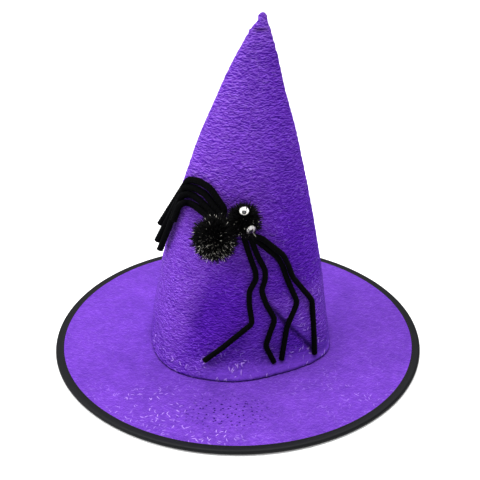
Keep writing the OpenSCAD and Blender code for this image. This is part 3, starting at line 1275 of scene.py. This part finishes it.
        # The lighter triangle right of the fold gets less painted shade.
        triangle = smooth_step(-0.004, 0.004, x - 0.028 - (0.074 - z) * 0.794)
        triangle = triangle * (1 - smooth_step(0.07, 0.088, z))
        lip = np.maximum(smooth_step(0.012, 0.026, z), 1 - smooth_step(-0.055, -0.04, x))
        front = smooth_step(-0.01, 0.03, -y)
        edge = -0.063 + 0.35 * (z - 0.012)
        sag = sag * lip * smooth_step(-0.006, 0.012, x - edge) * front
        return np.clip((side + 0.88 * sag) * (1 - 0.7 * triangle), 0, 1)

    def lighter_foot_and_tip(self, points: Array) -> Array:
        """Where the felt is coloured lighter: painted light on the foot's front band, and a lighter tip.

        Args:
            points: positions, with x, y and z on the last axis.

        Returns:
            Strength from 0 to 1.
        """
        x, y, z = points[..., 0], points[..., 1], points[..., 2]
        foot = 0.9 * bell(z - 0.008, 0.009) * smooth_step(0.0, 0.03, -y) * smooth_step(-0.05, -0.02, x)
        return np.clip(foot + 0.15 * smooth_step(0.31, 0.335, z), 0, 1)

    def crease_zone(self, points: Array) -> Array:
        """Where the felt shows bright creases: along the foot and in the front right triangle.

        Args:
            points: positions, with x, y and z on the last axis.

        Returns:
            Strength from 0 to 1.
        """
        x, y, z = points[..., 0], points[..., 1], points[..., 2]
        foot = bell(z - 0.012, 0.014) * smooth_step(0.0, 0.03, -y)
        corner = bell(x - 0.075, 0.022) * bell(z - 0.04, 0.03) * smooth_step(0.0, 0.03, -y)
        faint = 0.18 * smooth_step(0.04, 0.1, z)
        return np.clip(foot + corner + faint, 0, 1)


# ---------------------------------------------------------------- the brim


@dataclass
class Brim:
    """The brim's plies, the tape that binds them and the wire in its edge."""

    radius: float
    edge: float
    hole: float
    hole_x: float
    hole_y: float
    tucked: float = 3 * MM
    columns: int = 480

    def lift(self, x: Array, y: Array) -> Array:
        """How far the soft brim rises off the table: low waves that grow from the crown outwards.

        Args:
            x: x of the points.
            y: y of the points.

        Returns:
            The rise in metres.
        """
        r = np.hypot(x, y)
        a = np.arctan2(y, x)
        share = smooth_step(0.105, self.radius, r)
        waves = 0.22 * (1 + np.sin(3 * a + 0.8)) + 0.12 * (1 + np.sin(5 * a + 2.1))
        return waves * MM * share

    def ring(self, share: Array, outer: float) -> tuple[Array, Array]:
        """X and Y of rings between the off-centre hole, share 0, and the edge, share 1.

        Args:
            share: 0 at the hole, 1 at the edge.
            outer: radius of the outer edge.

        Returns:
            X and y of the rings.
        """
        a = np.radians(np.arange(self.columns) * 360 / self.columns)[None, :]
        s = share[:, None]
        x = (1 - s) * (self.hole_x + self.hole * np.cos(a)) + s * outer * np.cos(a)
        y = (1 - s) * (self.hole_y + self.hole * np.sin(a)) + s * outer * np.sin(a)
        return x, y

    def ply(self, name: str, low: float, high: float, relief: float, rows: int) -> Piece:
        """A flat closed ring of cloth from low to high, with its upper face crinkled by relief.

        Args:
            name: the object's name.
            low: height of its lower face.
            high: height of its upper face.
            relief: depth of the crinkles.
            rows: rings on its upper face.

        Returns:
            The ply.
        """
        outer = self.radius - self.tucked
        under = np.linspace(0, 1, 10)
        over = np.linspace(1, 0, rows)
        x, y = self.ring(np.concatenate([under, over]), outer)
        top = np.concatenate([np.zeros(len(under)), np.ones(len(over))])[:, None]
        spot = np.stack([x, y, np.zeros_like(x)], axis=-1)
        bumps = relief * (0.6 * ripple(spot, 0.05, 1.0, 11, 24) + 0.4 * ripple(spot, 0.009, 1.0, 13, 50))
        inside = smooth_step(0, 0.01, outer - np.hypot(x, y))
        z = low + (high - low) * top + self.lift(x, y) + bumps * top * inside
        points = np.stack([x, y, z], axis=-1)
        quads = grid_faces(points.shape[0], self.columns, loop_rows=True)[:, ::-1]
        prick = np.clip(1.5 * bell(np.hypot((x + 0.010) / 1.7, y + 0.136), 0.024) - 0.1, 0, 1)
        values = {"crease": self.crease_zone(x, y).ravel(), "prick": prick.ravel()}
        return build(name, points, quads, values=values)

    def crease_zone(self, x: Array, y: Array) -> Array:
        """Where the brim shows bright creases: its front left, its front and beside the crown.

        Args:
            x: x of the points.
            y: y of the points.

        Returns:
            Strength from 0 to 1.
        """
        left = 1.0 * bell(np.hypot((x + 0.082) / 1.5, y + 0.128), 0.026)
        front = 1.0 * bell(np.hypot((x + 0.028) / 2.4, y + 0.166), 0.014)
        right = 0.35 * bell(np.hypot((x - 0.11) / 1.5, y + 0.11), 0.03)
        return np.clip(left + front + right + 0.1, 0, 1)

    def carried_round(self, name: str, profile: Array, columns: int) -> Piece:
        """Carries a closed profile of radius and height once round the edge, over its waves.

        Args:
            name: the object's name.
            profile: the section, a row a point.
            columns: points round the axis.

        Returns:
            The closed ring.
        """
        a = np.radians(np.arange(columns) * 360 / columns)[:, None]
        radius, height = profile[None, :, 0], profile[None, :, 1]
        x, y = radius * np.cos(a), radius * np.sin(a)
        z = height + self.lift(x, y)
        points = np.stack([x, y, np.broadcast_to(z, x.shape)], axis=-1)
        way = np.concatenate([[0], np.cumsum(np.linalg.norm(np.diff(profile, axis=0), axis=1))])
        uv = np.stack(np.broadcast_arrays(a * self.radius, way[None, :]), axis=-1)
        quads = grid_faces(columns, len(profile), loop_rows=True)
        return build(name, points, quads, uv=uv)

    def tape_profile(self) -> Array:
        """The tape's section: two flat faces, a round fold outside and a thin wall, closed.

        Returns:
            Radius and height of each point.
        """
        thick = 0.6 * MM
        inner = self.radius - 8.1 * MM
        half = self.edge / 2
        turn = np.radians(np.linspace(90, -90, 15))
        fold = self.radius - half + half * np.cos(turn), half + half * np.sin(turn)
        small, home = half - thick, turn[::-1]
        back = self.radius - half + small * np.cos(home), half + small * np.sin(home)
        top = np.linspace(inner, self.radius - half, 9)[:-1]
        crown = 0.35 * MM * np.sin(np.linspace(0, math.pi, 9)[:-1])
        lip = np.array([[inner - 0.15 * MM, self.edge - 0.55 * MM]])
        slope = np.linspace(0.42, 0.06, 8) * MM
        over = np.stack([top, self.edge - slope + crown * 0.3], axis=1)
        under = np.stack([top[::-1], np.zeros(8)], axis=1)
        inside_low = np.array([[inner, thick]])
        inside_high = np.array([[inner, self.edge - thick - 0.1 * MM]])
        runs = [lip, over, np.stack(fold, 1), under, inside_low, np.stack(back, 1), inside_high]
        return np.concatenate(runs)

    def stitches(self) -> Piece:
        """A row of lock stitches near the tape's inner border, on its upper face.

        Returns:
            All stitches as one object.
        """
        radius = self.radius - 7.3 * MM
        count = int(TAU * radius / (3.4 * MM))
        a = np.arange(count) * TAU / count
        x, y = radius * np.cos(a), radius * np.sin(a)
        along = np.stack([-np.sin(a), np.cos(a), np.zeros(count)], axis=1)
        rise = self.lift(x, y)
        above = np.stack([x, y, rise + self.edge - 0.28 * MM], axis=1)
        up = np.array([0.0, 0.0, 1.0])
        return stitch_row("tape_stitches", above, along, up, 2.6 * MM, 0.42 * MM)

    def make(self) -> None:
        felt = self.ply("brim_top_felt", 2.6 * MM, 4.0 * MM, 0.22 * MM, 56)
        dress(felt, BRIM_FELT, "hat", ("brim_felt",))
        inter = self.ply("brim_stiffener", 1.6 * MM, 2.6 * MM, 0.0, 10)
        dress(inter, Stiffener(), "hat", ("brim_interlining",))
        lining = self.ply("brim_under_felt", 0.6 * MM, 1.6 * MM, 0.0, 10)
        dress(lining, LINING_FELT, "hat", ("brim_lining",))
        tape = self.carried_round("edge_tape", self.tape_profile(), 720)
        dress(tape, SatinTape(), "hat", ("brim_binding",))
        turn = np.radians(np.arange(12) * 30)
        thick = 0.75 * MM
        reach, rise = self.radius - 2.15 * MM + thick * np.cos(turn), self.edge / 2 - thick * np.sin(turn)
        wire = np.stack([reach, rise], 1)
        hoop = self.carried_round("edge_wire", wire, 360)
        dress(hoop, Steel(), "hat", ("brim_hoop",))
        thread = dress(self.stitches(), BLACK_THREAD, "hat")
        reach = self.radius - self.tucked


def stitch_row(
    name: str, places: Array, along: Array, out: Array, length: float, width: float
) -> Piece:
    """Raised stitches: six-sided grains, long in the along direction and half sunk.

    Args:
        name: the object's name.
        places: the middle of each stitch.
        along: each stitch's unit direction.
        out: the direction or directions that face out of the cloth.
        length: length of a stitch.
        width: thickness of the thread.

    Returns:
        One object with every stitch.
    """
    stations = np.array([-0.5, -0.36, 0.36, 0.5])
    girth = np.array([0.35, 1.0, 1.0, 0.35])
    turn = np.arange(6) * TAU / 6
    out = np.broadcast_to(out, along.shape)
    side = unit(np.cross(along, out))
    up = np.cross(side, along)
    cos, sin = np.cos(turn)[:, None], np.sin(turn)[:, None]
    across = cos * side[:, None, None, :] + sin * up[:, None, None, :]
    centre = places[:, None, None, :] + stations[None, :, None, None] * length * along[:, None, None, :]
    points = centre + across * (girth * width / 2)[None, :, None, None]
    caps = np.array([[5, 4, 3, 2], [5, 2, 1, 0], [18, 19, 20, 21], [18, 21, 22, 23]])
    one = np.concatenate([grid_faces(4, 6), caps])
    return build(name, points, repeated(one, len(places), 24))


# ---------------------------------------------------------------- the head opening


@dataclass
class Sweatband:
    """The grosgrain ribbon round the head opening, lapped at the back and stitched at its foot."""

    low: Array
    high: Array
    thick: float = 0.9 * MM
    columns: int = 360

    def make(self) -> list[Piece]:
        """A closed band with a soft bead on both edges, slightly wavy, and its stitches.

        Returns:
            What was built.
        """
        centre = (self.low + self.high) / 2
        radius = float((self.high - self.low)[0]) / 2 - self.thick / 2
        a = (np.arange(self.columns) * TAU / self.columns)[:, None]
        tall = float((self.high - self.low)[2])
        t = np.linspace(0, 1, 12)
        bead = 0.5 - 0.12 * np.cos(t * TAU) ** 4 + 0.08
        side = np.concatenate([bead, -bead[::-1]]) * self.thick * 0.86
        height = np.concatenate([t, t[::-1]]) * tall
        wave = 0.05 * MM * np.sin(9 * a) + 0.04 * MM * np.sin(23 * a + 1)
        lap = -0.25 * MM * smooth_step(0.0, 0.02, a - 1.571) * (1 - smooth_step(0.10, 0.14, a - 1.571))
        r = radius + side[None, :] + (wave + lap) * smooth_step(0.3, 0.9, height[None, :] / tall)
        r = np.minimum(r, radius + self.thick / 2)
        z = self.low[2] + height[None, :] + 0 * a
        points = np.stack([centre[0] + r * np.cos(a), centre[1] + r * np.sin(a), z], axis=-1)
        way = np.concatenate([[0], np.cumsum(np.hypot(np.diff(side), np.diff(height)))])
        uv = np.stack(np.broadcast_arrays(a * radius, way[None, :]), axis=-1)
        faces = grid_faces(self.columns, len(side), loop_rows=True)[:, ::-1]
        band = build("head_ribbon", points, faces, uv=uv)
        dress(band, Ribbon(), "hat", ("sweatband",))
        count = int(TAU * radius / (3.6 * MM))
        turn = np.arange(count) * TAU / count
        inner = radius - self.thick / 2 - 0.02 * MM
        flat = np.stack([np.cos(turn), np.sin(turn), np.zeros(count)], axis=1)
        places = np.array([centre[0], centre[1], self.low[2] + 1.4 * MM]) + flat * inner
        along = np.stack([-np.sin(turn), np.cos(turn), np.zeros(count)], axis=1)
        thread = stitch_row("ribbon_stitches", places, along, -flat, 2.6 * MM, 0.45 * MM)
        return [band, dress(thread, BLACK_THREAD, "hat")]


# ---------------------------------------------------------------- the spider


@dataclass
class Pompom:
    """A ball of tinsel: crimped strips that leave a tied middle in every direction."""

    name: str
    centre: Array
    radius: float
    strips: int
    seed: int
    # Share of painted glints on strips that point to the lower front.
    painted_glint: float = 0.5
    veil: Array | None = None

    def make(self) -> Piece:
        """Strips of a flat three-sided section with four stations.

        A strip's middle line is centre + d r + side b s^2, where s goes from 0 at its root to 1
        at its tip, and each station is kinked a little to catch the light.

        Returns:
            What was built.
        """
        rng = np.random.default_rng(self.seed)
        count = self.strips
        k = np.arange(count) + 0.5
        height = 1 - 2 * k / count
        turn = k * math.pi * (3 - math.sqrt(5))
        flat = np.sqrt(1 - height**2)
        direction = np.stack([flat * np.cos(turn), flat * np.sin(turn), height], axis=1)
        direction = unit(direction + rng.normal(scale=0.06, size=(count, 3)))
        side = unit(np.cross(direction, unit(rng.normal(size=(count, 3)))))
        normal = np.cross(direction, side)
        reach = self.radius * rng.uniform(0.86, 1.0, count)
        reach += rng.uniform(0.5, 4.6, count) * MM * (rng.uniform(0, 1, count) < 0.35)
        if self.veil is not None:
            from_eye = np.arccos(np.clip(direction @ unit(self.veil), -1, 1))
            reach += 3.2 * MM * bell(from_eye - 0.5, 0.16)
        bend = self.radius * rng.normal(scale=0.13, size=count)
        s = np.array([0.0, 0.45, 0.75, 1.0])
        kink = rng.normal(scale=0.25 * MM, size=(count, 4)) * s
        start = 0.35 * self.radius
        along = start + (reach[:, None] - start) * s
        middle = (
            self.centre
            + direction[:, None, :] * along[..., None]
            + side[:, None, :] * (bend[:, None] * s**2)[..., None]
            + normal[:, None, :] * kink[..., None]
        )
        roll = rng.uniform(0, TAU, (count, 1)) + rng.normal(scale=0.8, size=(count, 1)) * s
        wide = np.cos(roll)[..., None] * side[:, None, :] + np.sin(roll)[..., None] * normal[:, None, :]
        thin = np.cross(wide, np.broadcast_to(direction[:, None, :], wide.shape))
        width = 0.52 * MM * np.array([1.0, 1.0, 0.9, 0.3])[None, :, None]
        film = 0.07 * MM
        ring = np.stack([middle + wide * width, middle - wide * width, middle + thin * film * 2], axis=2)
        quads = repeated(grid_faces(4, 3), count, 12)
        triangles = repeated(np.array([[2, 1, 0], [9, 10, 11]]), count, 12)
        # Painted glints: near-white patches at one station of some strips, mostly strips that point to the
        # lower front.
        lit = smooth_step(0.0, 0.8, direction @ unit(np.array([0.05, -0.75, -0.66])))
        painted_glint = rng.uniform(0, 1, count) < 0.03 + 0.8 * self.painted_glint * lit
        spot = rng.integers(2, 4, count)[:, None] == np.arange(4)[None, :]
        dull = rng.uniform(0, 0.8, count)[:, None]
        glint = np.where(painted_glint[:, None] & spot, 1.0, dull).repeat(3, axis=1).ravel()
        return build(self.name, ring, quads, triangles, values={"glint": glint})

    def core(self) -> Piece:
        """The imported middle, a slightly lumpy ball that no light gets through.

        Returns:
            The core.
        """
        rows, columns = 24, 36
        up = np.linspace(-88, 88, rows)[:, None]
        about = (np.arange(columns) * 360 / columns)[None, :]
        up, about = np.radians(up), np.radians(about)
        axes = np.cos(up) * np.cos(about), np.cos(up) * np.sin(about), np.sin(up)
        ball = np.stack(np.broadcast_arrays(*axes), -1)
        lumps = 1 + 0.03 * ripple(ball, 0.6, 1.0, self.seed, 20)
        points = self.centre + ball * (0.66 * self.radius * lumps)[..., None]
        poles = self.centre + np.array([[0, 0, -0.66], [0, 0, 0.66]]) * self.radius
        return closed_grid(self.name + "_core", points, poles)


@dataclass
class PipeCleaner:
    """A pile-covered wire: a fuzzy tube with fibre tips standing out of it."""

    name: str
    route: Array
    seed: int
    pile: float = 2.6 * MM
    tips: float = 3.35 * MM
    sides: int = 14

    def eased(self) -> Array:
        """The route with each bend rounded by a short quadratic curve of 4 mm.

        Returns:
            Points 0.8 mm apart.
        """
        pieces = [self.route[:1]]
        t = np.linspace(0, 1, 7)[:, None]
        for before, p, after in zip(self.route[:-2], self.route[1:-1], self.route[2:]):
            u, v = before - p, after - p
            reach = min(4 * MM, 0.4 * np.linalg.norm(u), 0.4 * np.linalg.norm(v))
            a, b = p + reach * unit(u), p + reach * unit(v)
            pieces.append((1 - t) ** 2 * a + 2 * t * (1 - t) * p + t**2 * b)
        pieces.append(self.route[-1:])
        return resampled(np.concatenate(pieces), 0.8 * MM)

    def make(self) -> Piece:
        """The pile's body with a wound ridge, and spikes of fibre set round it.

        Returns:
            What was built.
        """
        path = self.eased()
        tangent, across, up = frames_along(path)
        count = len(path)
        turn = np.arange(self.sides) * TAU / self.sides
        s = np.arange(count)[:, None] * 0.8
        wound = 1 + 0.06 * np.sin(turn[None, :] * 2 - s * TAU / 3.4)
        taper = np.clip(np.minimum(s, s[::-1]) / 1.6 + 0.55, 0, 1)
        radius = self.pile * wound * taper
        cos, sin = np.cos(turn)[None, :, None], np.sin(turn)[None, :, None]
        ring = cos * across[:, None, :] + sin * up[:, None, :]
        body = path[:, None, :] + ring * radius[..., None]
        base = count * self.sides
        quads = grid_faces(count, self.sides)
        caps = np.concatenate([
            fan_faces(0, self.sides, base, upward=False),
            fan_faces(base - self.sides, self.sides, base + 1, upward=True),
        ])
        spikes, spike_faces = self.fibres(path, tangent, across, up, base + 2)
        points = np.concatenate([body.reshape(-1, 3), path[:1], path[-1:], spikes])
        return build(self.name, points, quads, np.concatenate([caps, spike_faces]))

    def fibres(
        self, path: Array, tangent: Array, across: Array, up: Array, first: int
    ) -> tuple[Array, Array]:
        """Three-sided spikes that lean at random and stand out from the pile.

        Args:
            path: points, one a row.
            tangent: unit directions along the path.
            across: unit directions across the path.
            up: unit directions square to both.
            first: number of the first new point.

        Returns:
            The spikes' points and faces.
        """
        rng = np.random.default_rng(self.seed)
        count = len(path) * 17
        at = rng.uniform(0, len(path) - 1.001, count)
        i = at.astype(int)
        f = (at - i)[:, None]
        root = path[i] * (1 - f) + path[i + 1] * f
        turn = rng.uniform(0, TAU, count)[:, None]
        out = unit(np.cos(turn) * across[i] + np.sin(turn) * up[i])
        lean = unit(out + tangent[i] * rng.normal(scale=0.28, size=(count, 1)))
        side = np.cross(lean, tangent[i])
        low = root + out * self.pile * 0.75
        high = low + lean * ((self.tips - self.pile * 0.75) * rng.uniform(0.75, 1.1, count))[:, None]
        width = 0.14 * MM
        third = -0.5 * side + 0.87 * tangent[i]
        fourth = -0.5 * side - 0.87 * tangent[i]
        spikes = np.stack([low + side * width, low + third * width, low + fourth * width, high], axis=1)
        one = np.array([[0, 1, 3], [1, 2, 3], [2, 0, 3], [0, 2, 1]])
        return spikes.reshape(-1, 3), repeated(one, count, 4, first)


@dataclass
class WobblyEye:
    """A white cup, a loose black disc and a clear dome, turned about the eye's own axis."""

    number: int
    place: Array
    axis: Array
    radius: float = 5.0 * MM

    def turned(self, name: str, profile: Array, columns: int, shift: Array | None = None) -> Piece:
        """Turns a profile of radius and height into a closed solid on the eye's axis.

        Args:
            name: the object's name.
            profile: the section, a row a point.
            columns: points round the axis.
            shift: offset of the whole piece.

        Returns:
            The solid.
        """
        reference = [0.0, 0.0, 1.0] if abs(self.axis[2]) < 0.9 else [1.0, 0.0, 0.0]
        u = unit(np.cross(np.array(reference), self.axis))
        v = np.cross(self.axis, u)
        a = (np.arange(columns) * TAU / columns)[None, :, None]
        out = np.cos(a) * u + np.sin(a) * v
        rows = self.place + out * profile[:, 0][:, None, None] + self.axis * profile[:, 1][:, None, None]
        move = 0 if shift is None else shift
        poles = np.stack([self.place + self.axis * profile[end, 1] + move for end in (0, -1)])
        return closed_grid(name, rows + move, poles)

    def cup(self) -> Array:
        """The cup's section: a disc with a rounded rim.

        Returns:
            Radius and height of each point.
        """
        r = self.radius - 0.55 * MM
        rim = [[r * 0.5, -0.6], [r, -0.6], [r, 0.0], [r, 0.25], [r - 0.15 * MM, 0.4]]
        return np.array([*rim, [r * 0.6, 0.4], [r * 0.3, 0.4]]) * [1, MM]

    def disc(self) -> Array:
        """The pupil's section: a flat disc with a soft edge."""
        return np.array([[1.0, 0.6], [1.85, 0.6], [2.0, 0.75], [2.0, 1.05], [1.85, 1.2], [1.0, 1.2]]) * MM

    def dome(self) -> Array:
        """The dome's section: up the outside of a low bowl and back down its inside.

        Returns:
            Radius and height of each point.
        """
        r = self.radius
        turn = np.radians(np.linspace(8, 86, 12))
        outside = np.stack([r * np.cos(turn) ** 0.7, 2.6 * MM * np.sin(turn)], axis=1)
        small, flange = r - 0.35 * MM, r + 0.25 * MM
        inside = np.stack([small * np.cos(turn) ** 0.7, 2.3 * MM * np.sin(turn)], axis=1)[::-1]
        rim = np.array([[small, -0.55 * MM], [flange, -0.6 * MM], [flange, -0.2 * MM], [r, 0.0]])
        return np.concatenate([inside, rim, outside])

    def make(self) -> None:
        """Builds the eye's three pieces."""
        n = self.number
        cup = self.turned(f"eye_cup_{n}", self.cup(), 40)
        dress(cup, EYE_WHITE, "hat", (f"eye_back_{n}",))
        low, high = (np.array(c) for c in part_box(f"eye_pupil_{n}"))
        middle = (low + high) / 2
        offset = middle - self.place
        offset = offset - self.axis * offset.dot(self.axis)
        pupil = self.turned(f"eye_disc_{n}", self.disc(), 32, shift=offset)
        dress(pupil, EYE_BLACK, f"pupil_{n}", (f"eye_pupil_{n}",))
        dome = self.turned(f"eye_shell_{n}", self.dome(), 40)
        dress(dome, ClearPlastic(), "hat", (f"eye_dome_{n}",))


@dataclass
class Spider:
    """The tinsel spider: two pompoms, eight pipe-cleaner legs, the twist between them and two eyes."""

    LEFT_LEGS = (
        ((-12, -38, 164), (-25.5, -28, 181), (-36.5, -22, 186), (-46.5, -15.5, 185), (-77.5, 3, 128.5)),
        ((-17, -38.5, 161), (-30.5, -27.5, 175), (-40.5, -21.5, 179), (-50.5, -17.5, 177.5),
         (-80, -9, 115.5)),
        ((-22, -38.5, 158.5), (-36, -27.5, 169), (-44.5, -21.5, 172.5), (-53, -23, 172),
         (-77.5, -12.5, 107.5)),
        ((-27, -38.5, 156), (-40.5, -28, 163.5), (-48.5, -23.5, 165), (-55, -32, 166), (-61, -35, 150)),
    )
    RIGHT_LEGS = (
        ((6, -46.4, 137.8), (11, -50, 122), (17, -54, 106), (17.5, -57, 99), (11, -61, 89), (11, -65, 76),
         (14, -70, 58), (-15, -79, 36), (-33, -81, 22)),
        ((12, -46, 138), (19, -50.5, 121), (26.5, -54, 107), (26, -56.5, 97), (22.5, -59.5, 89),
         (27, -63, 76), (36, -64, 59), (27, -71, 33), (36, -71, 13)),
        ((19, -45.5, 134), (28.5, -47, 126.5), (38.5, -47.5, 117.5), (43, -48.5, 109), (47, -50.5, 97),
         (58, -52, 71), (48, -61, 49), (43, -68, 14)),
        ((22.5, -47.5, 139), (32, -49.5, 131.5), (43, -50, 122.5), (48, -51, 112), (52.5, -51.5, 99),
         (73, -43, 68), (76, -49, 31), (77, -54, 11)),
    )
    TWIST = ((-15, -42.5, 155.5), (6.5, -47.5, 142.5))
    LEFT_PILE = (3.1 * MM, 3.9 * MM)
    RIGHT_PILE = (2.6 * MM, 3.35 * MM)

    @staticmethod
    def ball(node: str) -> tuple[Array, float]:
        """Centre and radius of a CAD ball."""
        low, high = (np.array(c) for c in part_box(node))
        return (low + high) / 2, float((high - low)[2]) / 2

    def legs(self) -> None:
        """Builds each leg, bent smoothly where it leaves the twist."""
        for side, routes in ((Side.LEFT, self.LEFT_LEGS), (Side.RIGHT, self.RIGHT_LEGS)):
            for number, route in enumerate(routes, 1):
                name = f"{side.value}_leg_{number}"
                route = np.array(route) * MM
                left = side is Side.LEFT
                waist = np.array(self.TWIST[0 if left else 1]) * MM
                points = np.concatenate([[waist], route])
                pile, tips = self.LEFT_PILE if left else self.RIGHT_PILE
                seed = 100 + number + 10 * left
                piece = PipeCleaner(name + "_pile", points, seed, pile, tips).make()
                piece.data.materials.append(Pile().material())
                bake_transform(piece)
                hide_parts(name)
                LOG.info("%s: %d faces", piece.name, len(piece.data.polygons))

    def make(self) -> None:
        """Builds the whole spider."""
        centre, radius = self.ball("spider_body")
        body = Pompom("body_tinsel", centre, radius + 1.2 * MM, 3800, 21)
        dress(body.make(), Tinsel(), "hat", ("spider_body",))
        dress(body.core(), Pile(), "hat")
        centre, radius = self.ball("spider_head")
        lower = next(joint for joint in frame["joints"] if joint["name"].startswith("pupil_2"))
        lower_eye = np.array(lower["pos_m"])
        head = Pompom("head_tinsel", centre, radius + 1.0 * MM, 2000, 22, 0.08, lower_eye - centre)
        dress(head.make(), Tinsel(), "hat", ("spider_head",))
        dress(head.core(), Pile(), "hat")
        self.legs()
        twist = PipeCleaner("waist_twist", np.array(self.TWIST) * MM, seed=40, pile=2.6 * MM, tips=3.2 * MM)
        route = twist.route
        twist.route = np.stack([route[0], route.mean(axis=0), route[1]])
        dress(twist.make(), Pile(), "hat", ("leg_twist",))
        for joint in frame["joints"]:
            if joint["name"].startswith("pupil_"):
                number = int(joint["name"].split("_")[1])
                WobblyEye(number, np.array(joint["pos_m"]), unit(np.array(joint["axis"]))).make()


# ---------------------------------------------------------------- putting it together


def finish_cad_nodes() -> None:
    """Gives the CAD nodes that still show their own finishes."""
    for node in ("body_glue", "head_glue"):
        mesh = frame["nodes"][node].data
        mesh.materials.clear()
        mesh.materials.append(HotGlue().material())


def main() -> None:
    """Builds the studio, the crown, the brim and the spider in turn."""
    logging.basicConfig(level=logging.INFO, format="%(name)s: %(message)s")
    Studio().make()
    foot, top = (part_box("crown_felt")[k][2] for k in (0, 1))
    shape = Crown(foot=float(foot), top=float(top))
    crown = shape.make()
    flaps = dress(shape.seam_flaps(), LINING_FELT, "hat")
    thread = dress(shape.seam_stitches(), PURPLE_THREAD, "hat")
    low, high = (np.array(c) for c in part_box("sweatband"))
    sewn = [flaps, thread, *Sweatband(low, high).make()]
    centre = (low + high) / 2
    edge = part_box("brim_binding")[1][2]
    Brim(
        radius=float(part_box("brim_binding")[1][1]),
        edge=float(edge),
        hole=float((high - low)[0]) / 2 + 0.1 * MM,
        hole_x=float(centre[0]),
        hole_y=float(centre[1]),
    ).make()
    Spider().make()
    finish_cad_nodes()


if __name__ == "__main__":
    main()
